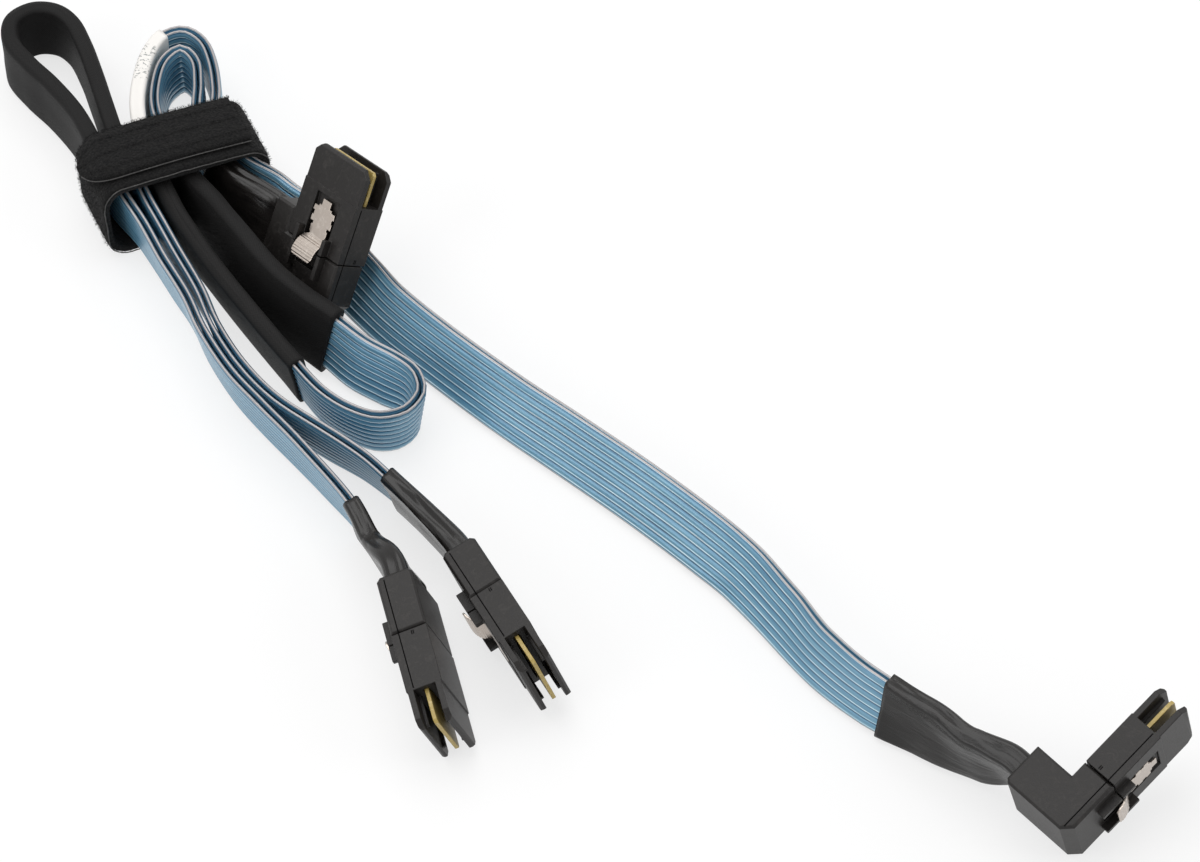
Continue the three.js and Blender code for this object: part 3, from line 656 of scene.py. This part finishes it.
def woven_sleeve():
    material, nodes, links, shader = new_material("black woven sleeve")
    yarns = add_group(nodes, WEAVE, Yarns_Along=9000.0, Yarns_Across=9000.0).outputs["Yarns"]
    # The colour follows the weave mask that also drives the bump: painted shade in the hollows between the
    # yarns, lighter on the raised yarns.
    paint(nodes, links, shader, yarns, (0.0, (0.004, 0.004, 0.0045)), (1.0, (0.013, 0.0125, 0.012)))
    set_inputs(shader, Roughness=0.6, Specular_IOR_Level=0.12, Sheen_Weight=0.015, Sheen_Roughness=0.5)
    bump_into(nodes, links, shader, yarns, 0.4, 0.0001)
    return material


def strap_pile():
    material, nodes, links, shader = new_material("strap pile")
    pile = noise_node(nodes, links, own_place(nodes), Scale=1500.0, Detail=6)
    # The colour follows the pile noise that also drives the bump: painted shade in its hollows, lighter on
    # its tops.
    paint(nodes, links, shader, pile, (0.3, (0.004, 0.004, 0.0045)), (0.75, (0.016, 0.0155, 0.015)))
    set_inputs(shader, Roughness=0.95, Specular_IOR_Level=0.1, Sheen_Weight=0.04, Sheen_Roughness=0.6)
    bump_into(nodes, links, shader, pile, 0.9, 0.0006)
    return material


def edge_thread():
    material, nodes, links, shader = new_material("strap edge thread")
    grain = add_group(nodes, GRAIN, Grain_Scale=3000.0, Scuff_Scale=900.0, Scuff_Amount=0.8)
    scuffs = grain.outputs["Scuffs"]
    paint(nodes, links, shader, scuffs, (0.0, (0.045, 0.044, 0.043)), (1.0, (0.13, 0.125, 0.12)))
    set_inputs(shader, Roughness=0.8)
    return material


def label_paper():
    material, nodes, links, shader = new_material("white label")
    place = place_on_run(nodes, links, (1500.0, 900.0, 1.0))
    specks = noise_node(nodes, links, place, Scale=1.0, Detail=2)
    dark = math_node(nodes, links, "GREATER_THAN", specks, 0.58)
    dark = math_node(nodes, links, "MULTIPLY", dark, piece_mask(nodes))
    paint(nodes, links, shader, dark, (0.0, (0.78, 0.76, 0.73)), (1.0, (0.3, 0.31, 0.3)))
    set_inputs(shader, Roughness=0.5)
    bump_into(nodes, links, shader, specks, 0.08, 0.00005)
    return material


FINISH = {
    "housing": housing_plastic(),
    "latch_steel": latch_steel(),
    "card": card_board(),
    "parting": parting_shadow(),
    "blue_jacket": ribbon_jacket(),
    "heat_shrink": heat_shrink(),
    "sleeve": woven_sleeve(),
    "strap": strap_pile(),
    "edge_thread": edge_thread(),
    "label": label_paper(),
}


# Ribbons
def ridged_section():
    """Upper half of a ribbon's section: places across the width, half thickness there, and its level for the
    colour ramp, which holds painted shade in the grooves, painted highlight lines, the blue tops and the
    rims.
    """
    half = RIBBON_WIDTH / 2
    pitch = (RIBBON_WIDTH - 2 * RIBBON_MARGIN) / RIBBON_RIDGES
    across, height, levels_with_painted_light = [-half, -half + RIM_WIDTH], [*RIM_HALF_HEIGHTS], [RIM_SHADE, RIM_SHADE]
    for ridge in range(RIBBON_RIDGES):
        start = -half + RIBBON_MARGIN + ridge * pitch
        for share, level_with_painted_light in RIDGE_LEVELS_WITH_PAINTED_LIGHT:
            bulge = math.sin(math.pi * share) ** RIDGE_FULLNESS
            across.append(start + share * pitch)
            height.append((RIBBON_VALLEY + (RIBBON_THICKNESS - RIBBON_VALLEY) * bulge) / 2)
            levels_with_painted_light.append(level_with_painted_light)
    # The last valley gets painted groove shade, and the rims their own greyish colour.
    across += [half - RIBBON_MARGIN, half - RIM_WIDTH, half]
    height += [RIBBON_VALLEY / 2, *RIM_HALF_HEIGHTS[::-1]]
    levels_with_painted_light += [0.0, RIM_SHADE, RIM_SHADE]
    return np.array(across), np.array(height), np.array(levels_with_painted_light)


def ribbon_pair(letter, strand):
    """Both ribbons of a cable, one on each side of its middle line, as one mesh."""
    across_at, height, levels_with_painted_light = ridged_section()
    places, run = strand.walk(0, strand.last, RING_STEP)
    middle, across, thick = strand.frames(places)
    s = np.concatenate([across_at, across_at[::-1]])
    h = np.concatenate([height, -height[::-1]])
    level_with_painted_light = np.concatenate([levels_with_painted_light, levels_with_painted_light[::-1]])
    skins, uv = [], []
    for side, shift in ((-1, 0), (1, STREAK_SHIFT)):
        centre = middle + thick * (side * RIBBON_SPACING / 2)
        rings = centre[:, None] + across[:, None] * s[None, :, None] + thick[:, None] * h[None, :, None]
        skins.append((rings, loft(rings)))
        uv.append((run_map(run, s) + [0, shift]).reshape(-1, 2))
    piece = make_mesh(f"cable_{letter}_ribbons", *joined(*skins), FINISH["blue_jacket"],
                      np.concatenate(uv), np.tile(level_with_painted_light, 2 * len(run)))
    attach(piece, BUNDLE)
    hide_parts(f"cable_{letter}_first_ribbon", f"cable_{letter}_second_ribbon")


# Wrapped pieces: boots, sleeves and the label
def rounded_section(thickness, width, corner):
    """A closed rounded section: points as thickness and width."""
    t, w = thickness / 2 - corner, width / 2 - corner
    arc = max(3, WRAP_POINTS // 8)
    side = max(2, (WRAP_POINTS - 4 * arc) // 4)
    corners = [(t, w, 0), (-t, w, 90), (-t, -w, 180), (t, -w, 270)]
    arcs = []
    for ct, cw, start in corners:
        angles = np.radians(start + 90 * np.arange(arc) / (arc - 1))
        arcs.append(np.stack([ct + corner * np.cos(angles), cw + corner * np.sin(angles)], axis=1))
    share = (np.arange(1, side) / side)[:, None]
    parts = []
    for here, following in zip(arcs, arcs[1:] + arcs[:1]):
        parts += [here, here[-1] + (following[0] - here[-1]) * share]
    return np.concatenate(parts)


def wrinkle_waves(rows, size, seed):
    """Soft random waves round and along a skin, with four layers, each finer and half as high."""
    rng = np.random.default_rng(seed)
    angle = np.linspace(0, 2 * math.pi, size, endpoint=False)
    waves = np.zeros((rows, size))
    for layer, length in enumerate(WRINKLE_LENGTHS):
        for _ in range(3):
            turns = rng.integers(2, 5 + 3 * layer)
            phase, drift = rng.uniform(0, 2 * math.pi, 2)
            sway = smooth_noise(rng.integers(1 << 30), rows, length / WRAP_STEP) * WRINKLE_SWAY
            waves += np.sin(turns * angle[None, :] + phase + sway[:, None] + drift) * 0.5 ** layer / 3
    return waves


def wrapped(name, strand, start, end, section_at, material, wrinkle, seed, marked=None):
    """A skin round a strand. section_at gives the outer thickness, width and corner by share of its
    length, wrinkle the depth of the wrinkles, and marked the span of shares where the mask is 1."""
    places, run = strand.walk(start, end, WRAP_STEP)
    middle, across, thick = strand.frames(places)
    share = run / run[-1]
    sections = np.array([rounded_section(*section_at(x)) for x in share])
    size = sections.shape[1]
    waves = wrinkle_waves(len(run), size, seed)
    outward = unit(sections - sections.mean(axis=1, keepdims=True))
    sections = sections + outward * (np.minimum(waves, WRINKLE_CREST) - WRINKLE_CREST)[..., None] * wrinkle
    rings = middle[:, None] + thick[:, None] * sections[..., 0:1] + across[:, None] * sections[..., 1:2]
    uv = run_map(run, running_length(sections[0]))
    lips = [centre + (ring - centre) * WRAP_LIP for ring, centre in zip(rings[[0, -1]], middle[[0, -1]])]
    rings = np.concatenate([lips[:1], rings, lips[1:]])
    uv = np.concatenate([uv[:1], uv, uv[-1:]])
    mask = None
    if marked:
        mask = ((share > marked[0]) & (share < marked[1])).astype(float)
        mask = np.repeat(np.concatenate([mask[:1], mask, mask[-1:]]), size)
    piece = make_mesh(name, rings.reshape(-1, 3), loft(rings), material, uv.reshape(-1, 2), mask)
    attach(piece, BUNDLE)
    return piece


def add_boots(cable_a, cable_b):
    boots = {
        "left": (cable_a, 0, cable_a.place_at(BOOT_LENGTH["left"]), True),
        "middle": (cable_a, cable_a.place_at(-BOOT_LENGTH["middle"]), cable_a.last, False),
        "right": (cable_b, 0, cable_b.place_at(BOOT_LENGTH["right"]), True),
        "upper": (cable_b, cable_b.place_at(-BOOT_LENGTH["upper"]), cable_b.last, False),
    }
    grown = GAP + BOOT_WALL
    for seed, (name, (strand, start, end, plug_first)) in enumerate(boots.items(), 10):
        def section(share):
            near = 1 - share if plug_first else share
            full = BOOT_FULLNESS * near * near
            corner = BOOT_CORNER + full * BOOT_CORNER_GROWTH
            return PAIR_THICKNESS + 2 * grown + full, RIBBON_WIDTH + 2 * grown, corner
        piece = wrapped(f"boot_{name}_skin", strand, start, end, section, FINISH["heat_shrink"], 0.55, seed)
        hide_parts(f"boot_{name}")


def add_sleeves(cable_a, cable_b):
    grown = GAP + SLEEVE_WALL
    for seed, (name, (start, end, flare)) in enumerate(SLEEVES.items(), 20):
        strand = cable_a if name == "loop" else cable_b

        def section(share):
            place = start + (end - start) * share
            wide = RIBBON_WIDTH + 2 * grown + flare * min(max((end - 1 - place) / 2, 0), 1)
            return PAIR_THICKNESS + 2 * grown, wide, SLEEVE_CORNER
        piece = wrapped(f"sleeve_{name}_skin", strand, start, end, section, FINISH["sleeve"], 0.22, seed)
        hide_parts(f"sleeve_{name}")


def add_label(cable_b):
    grown = GAP + LABEL_THICKNESS
    section = (PAIR_THICKNESS + 2 * grown, RIBBON_WIDTH + 2 * grown, LABEL_CORNER)
    piece = wrapped("label_wrap_skin", cable_b, *LABEL_SPAN, lambda share: section, FINISH["label"],
                    0.08, 30, LABEL_SPECKS)
    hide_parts("label_wrap")


def add_cables():
    plugs = {name: PlugFrame(*pose) for name, pose in PLUGS.items()}
    cable_a = Strand(plugs["left"].exit(), ROUTE_A, plugs["middle"].exit())
    cable_b = Strand(plugs["right"].exit(), ROUTE_B, plugs["upper"].exit())
    ribbon_pair("a", cable_a)
    ribbon_pair("b", cable_b)
    add_boots(cable_a, cable_b)
    add_sleeves(cable_a, cable_b)
    add_label(cable_b)


# Latches: a stamped plate with a narrow head and ears, and a stepped tab with fine cross grooves
def latch_plate():
    face = -BODY_THICKNESS / 2
    outline = [*LATCH_OUTLINE, *((x, -z) for x, z in reversed(LATCH_OUTLINE))]
    count = len(outline)
    points = [(x, y, z) for y in (face, face + LATCH_SHEET) for x, z in outline]
    faces = [list(range(count)), list(range(2 * count - 1, count - 1, -1))]
    faces += [[k, k + count, (k + 1) % count + count, (k + 1) % count] for k in range(count)]
    return points, faces


def latch_tab():
    face = -BODY_THICKNESS / 2
    share = np.linspace(0, 1, LATCH_TAB_RINGS)
    slope = np.radians(np.interp(share, *LATCH_TAB_SLOPES))
    step = LATCH_TAB_LENGTH / (len(share) - 1)
    x = LATCH_TAB_START - step * np.concatenate([[0], np.cumsum(np.cos(slope[1:]))])
    y = face + LATCH_SHEET / 2 - step * np.concatenate([[0], np.cumsum(np.sin(slope[1:]))])
    groove = LATCH_GROOVE_DEPTH * np.sin(share * LATCH_GROOVE_TURN)
    half = np.interp(share, *LATCH_TAB_HALF_WIDTHS)
    rings = []
    for place, height, angle, ripple, wide in zip(x, y, slope, groove, half):
        out = np.array([math.sin(angle), -math.cos(angle), 0])
        middle = np.array([place, height, 0])
        top = middle + out * (LATCH_SHEET / 2 + ripple)
        low = middle - out * LATCH_SHEET / 2
        rings.append([top + UP * wide, top - UP * wide, low - UP * wide, low + UP * wide])
    return rings, loft(rings)


def add_latch(name, plug):
    points, faces = joined(latch_plate(), latch_tab())
    piece = make_mesh(f"plug_{name}_latch_skin", plug.place(points), faces, FINISH["latch_steel"],
                      smooth=False)
    soften(piece, LATCH_BEVEL, 2)
    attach(piece, f"{name}_latch")
    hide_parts(f"plug_{name}_latch")


def box(low, high):
    points = [(x, y, z) for x in (low[0], high[0]) for y in (low[1], high[1]) for z in (low[2], high[2])]
    faces = ((0, 1, 3, 2), (4, 6, 7, 5), (0, 4, 5, 1), (2, 3, 7, 6), (0, 2, 6, 4), (1, 5, 7, 3))
    return points, faces


def add_parting_lines(name, plug):
    """Near-black strips of painted groove shade between the latch-side plate and the rest, with painted
    shade for the peg marks, on both narrow faces.
    """
    y = -BODY_THICKNESS / 2 + PLATE_THICKNESS
    hood_side = (BLOCK_REAR if plug.kind == "side" else PLUG_REAR) + PARTING_SETBACK
    far_side = (SIDE_REAR if plug.kind == "side" else PLUG_REAR) + HOOD_SETBACK
    front = -NOSE_LENGTH - NOSE_SETBACK
    lines = []
    for side, rear in ((-1, far_side), (1, hood_side)):
        near, far = sorted((side * (PLUG_WIDTH / 2 - PARTING_SUNK), side * (PLUG_WIDTH / 2 + PARTING_PROUD)))
        lines.append(box((rear, y, near), (front, y + PARTING_WIDTH, far)))
        start, end = (BLOCK_REAR + setback for setback in PEG_MARK_SPAN)
        lines += [box((start, rise, near), (end, rise + PEG_MARK_WIDTH, far)) for rise in PEG_MARK_RISES]
    points, faces = joined(*lines)
    piece = make_mesh(f"plug_{name}_parting_lines", plug.place(points), faces, FINISH["parting"],
                      smooth=False)
    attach(piece, BUNDLE)


def dress_plugs():
    """Latches and parting lines, drawn as painted groove shade, on every plug, and the frame's own plug
    nodes with softened edges.
    """
    for name, pose in PLUGS.items():
        plug = PlugFrame(*pose)
        add_latch(name, plug)
        add_parting_lines(name, plug)
    kinds = {
        "nose_housing": ("housing", HOUSING_BEVEL),
        "rear_shell": ("housing", HOUSING_BEVEL),
        "paddle_card": ("card", CARD_BEVEL),
    }
    for name in PLUGS:
        for kind, (finish, width) in kinds.items():
            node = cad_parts[f"plug_{name}_{kind}"]
            node.data.materials.clear()
            node.data.materials.append(FINISH[finish])
            weld = node.modifiers.new("weld", "WELD")
            weld.merge_threshold = WELD_DISTANCE * MM
            bevel = soften(node, width, 3)
            bevel.angle_limit = math.radians(35)
            bevel.harden_normals = True


# Strap
def strap_outline(inset):
    """The strap's outline across the bundle, as sideways place and height, evenly spread."""
    half = STRAP_HALF_ACROSS - inset
    top = STRAP_HEIGHT - inset
    radius = STRAP_CORNER - inset * STRAP_INNER_CORNER
    corners = [(half, top, 0), (-half, top, 90), (-half, inset, 180), (half, inset, 270)]
    arcs = []
    for x, z, start in corners:
        cx = x - math.copysign(radius, x)
        cz = z - radius if z == top else z + radius
        angles = np.radians(np.linspace(start, start + 90, STRAP_CORNER_POINTS))
        arcs.append(np.stack([cx + radius * np.cos(angles), cz + radius * np.sin(angles)], axis=1))
    points = np.concatenate(arcs + [arcs[0][:1]])
    run = running_length(points)
    even = np.linspace(0, run[-1], STRAP_OUTLINE_POINTS, endpoint=False)
    return np.stack([np.interp(even, run, points[:, k]) for k in range(2)], axis=1)


def on_strap(sideways, height, along):
    """Points from places across the bundle, up, and along the bundle from the strap's middle."""
    sideways, height, along = (np.asarray(v, float)[..., None] for v in (sideways, height, along))
    return STRAP_MIDDLE + ORIGIN_SHIFT + STRAP_SIDEWAYS * sideways + STRAP_AXIS * along + UP * height


def strap_shift(sideways, height):
    """How far the band's middle lies along the bundle: it runs a little askew over the top."""
    lift = np.clip(height / STRAP_HEIGHT, 0, 1) ** 2
    return lift * (STRAP_SKEW * sideways / STRAP_HALF_ACROSS)


def crown(sideways):
    return STRAP_CROWN * np.cos(np.clip(sideways / STRAP_HALF_ACROSS, -1, 1) * math.pi / 2)


def fibres(points, normals, count, length, seed):
    """Short fibres that stand on a surface, as narrow triangles."""
    rng = np.random.default_rng(seed)
    pick = rng.integers(0, len(points), count)
    base = points[pick] + rng.uniform(-FIBRE_SCATTER, FIBRE_SCATTER, (count, 3))
    lean = unit(normals[pick] + rng.uniform(-FIBRE_LEAN, FIBRE_LEAN, (count, 3)))
    side = unit(np.cross(lean, rng.uniform(-1, 1, (count, 3)))) * FIBRE_HALF_WIDTH
    tip = base + lean * rng.uniform(0.4, 1, (count, 1)) * length
    points = np.stack([base - side, base + side, tip], axis=1).reshape(-1, 3)
    points[:, 2] = np.maximum(points[:, 2], TABLE_CLEARANCE)
    return points, np.arange(count * 3).reshape(-1, 3).tolist()


def thread(path):
    """Points and faces of a thin four-sided thread along a path."""
    along = unit(np.gradient(path, axis=0))
    side = unit(np.cross(along, UP) + 1e-6) * THREAD_RADIUS
    rise = np.cross(side, along)
    rings = np.stack([path + side, path + rise, path - side, path - rise], axis=1)
    rings[..., 2] = np.maximum(rings[..., 2], TABLE_CLEARANCE)
    return rings, loft(rings)


def add_strap_band():
    """The band round the bundle, with its pile. Returns the ring of points along its front edge."""
    outer = strap_outline(0)
    inner = strap_outline(STRAP_THICKNESS)
    steps = np.linspace(-0.5, 0.5, STRAP_RINGS)
    wear = STRAP_EDGE_WEAR * np.abs(steps * 2) ** 14
    rough = np.random.default_rng(41).uniform(-STRAP_BUMPS, STRAP_BUMPS, (len(steps), len(outer)))
    outward = unit(outer - outer.mean(axis=0))
    facing = STRAP_SIDEWAYS * outward[:, 0:1] + UP * outward[:, 1:2]
    rise = crown(outer[:, 0]) * (outer[:, 1] > STRAP_HEIGHT - STRAP_CORNER)
    rings, normals = [], []
    for step, worn, bumps in zip(steps, wear, rough):
        swell = rise - worn + bumps
        z = np.maximum(outer[:, 1] + swell * outward[:, 1], TABLE_CLEARANCE)
        x = outer[:, 0] + np.minimum(swell, 0) * outward[:, 0]
        rings.append(on_strap(x, z, step * STRAP_BAND + strap_shift(x, z)))
        normals.append(facing + STRAP_AXIS * (step * 2) ** 5)
    x, z = inner.T
    inside = [on_strap(x, z, step * STRAP_BAND + strap_shift(x, z)) for step in (0.5, -0.5)]
    skin = np.array(rings + inside)
    faces = loft(skin, closed_ends=False)
    size = len(outer)
    last = (len(skin) - 1) * size
    faces += [[last + k, last + (k + 1) % size, (k + 1) % size, k] for k in range(size)]
    band = make_mesh("strap_skin", skin.reshape(-1, 3), faces, FINISH["strap"])
    blades = fibres(np.concatenate(rings), np.concatenate(normals), BAND_FIBRES, BAND_FIBRE_LENGTH, 42)
    hair = make_mesh("strap_pile", *blades, FINISH["strap"], smooth=False)
    for piece in (band, hair):
        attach(piece, BUNDLE)
    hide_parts("strap_band")
    return rings[-1]


def add_strap_tail(band_front):
    """The second layer over the top, round at its free end on the left, and the edge threads of both."""
    across = np.linspace(-STRAP_HALF_ACROSS - TAIL_OVERHANG, STRAP_HALF_ACROSS - TAIL_SHORT, TAIL_RINGS)
    from_end = (across - across[0]) / (TAIL_BAND / 2)
    half_band = TAIL_BAND / 2 * np.sqrt(1 - np.clip(1 - from_end, 0, 0.985) ** 2)
    drop = (-STRAP_HALF_ACROSS + STRAP_CORNER - across) / (STRAP_CORNER + TAIL_OVERHANG)
    base = STRAP_HEIGHT + crown(across) - TAIL_DROP * np.clip(drop, 0, 1) ** 2 + TAIL_LIFT
    along = TAIL_SECTION[:, 0] * half_band[:, None] - TAIL_BACK + strap_shift(across, STRAP_HEIGHT)[:, None]
    height = base[:, None] + TAIL_SECTION[:, 1] * TAIL_THICKNESS
    rings = on_strap(np.broadcast_to(across[:, None], height.shape), height, along)
    normals = np.tile(UP + STRAP_AXIS * TAIL_SECTION[:, 0:1] ** 3, (TAIL_RINGS, 1))
    tail = make_mesh("strap_tail", rings.reshape(-1, 3), loft(rings), FINISH["strap"])
    blades = fibres(rings.reshape(-1, 3), normals, TAIL_FIBRES, TAIL_FIBRE_LENGTH, 43)
    hair = make_mesh("strap_tail_pile", *blades, FINISH["strap"], smooth=False)

    front_edges = (np.concatenate([band_front, band_front[:1]]), rings[:, TAIL_FRONT])
    threads = [thread(edge + STRAP_AXIS * THREAD_OFFSET) for edge in front_edges]
    edging = make_mesh("strap_edge_threads", *joined(*threads), FINISH["edge_thread"])
    for piece in (tail, hair, edging):
        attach(piece, BUNDLE)


# Stage
def background_rays(nodes, links):
    """1 where the camera, a reflection or a view through glass sees the background, and 0 elsewhere."""
    rays = nodes.new("ShaderNodeLightPath")
    seen = math_node(nodes, links, "MAXIMUM", rays.outputs["Is Camera Ray"], rays.outputs["Is Glossy Ray"])
    return math_node(nodes, links, "MAXIMUM", seen, rays.outputs["Is Transmission Ray"])


def add_world():
    world = bpy.data.worlds.new("studio")
    bpy.context.scene.world = world
    world.use_nodes = True
    nodes, links = world.node_tree.nodes, world.node_tree.links
    background = nodes["Background"]
    background.inputs["Color"].default_value = (1, 1, 1, 1)
    strength = math_node(nodes, links, "MULTIPLY_ADD", background_rays(nodes, links), 0.55, 0.45)
    links.new(strength, background.inputs["Strength"])


def add_table():
    material, nodes, links, shader = new_material("pale table")
    set_inputs(shader, Base_Color=(0.88, 0.88, 0.88, 1), Roughness=0.9)
    glow = nodes.new("ShaderNodeEmission")
    set_inputs(glow, Color=(1, 1, 1, 1))
    mix = nodes.new("ShaderNodeMixShader")
    links.new(math_node(nodes, links, "MULTIPLY", background_rays(nodes, links), 0.72), mix.inputs["Fac"])
    links.new(shader.outputs["BSDF"], mix.inputs[1])
    links.new(glow.outputs["Emission"], mix.inputs[2])
    links.new(mix.outputs["Shader"], nodes["Material Output"].inputs["Surface"])
    signs = ((-1, -1), (1, -1), (1, 1), (-1, 1))
    corners = [(TABLE_HALF * x, TABLE_HALF * y, -TABLE_DROP) for x, y in signs]
    make_mesh("table", corners, [(0, 1, 2, 3)], material)


def add_lamps():
    for name, place, size, power in LAMPS:
        data = bpy.data.lights.new(name, "AREA")
        data.size = size
        data.energy = power
        lamp = bpy.data.objects.new(name, data)
        lamp.location = place
        lamp.rotation_euler = (-Vector(place)).to_track_quat("-Z", "Y").to_euler()
        bpy.context.collection.objects.link(lamp)


add_camera()
add_cables()
dress_plugs()
add_strap_tail(add_strap_band())
add_world()
add_table()
add_lamps()
bpy.context.scene.view_settings.view_transform = "Standard"
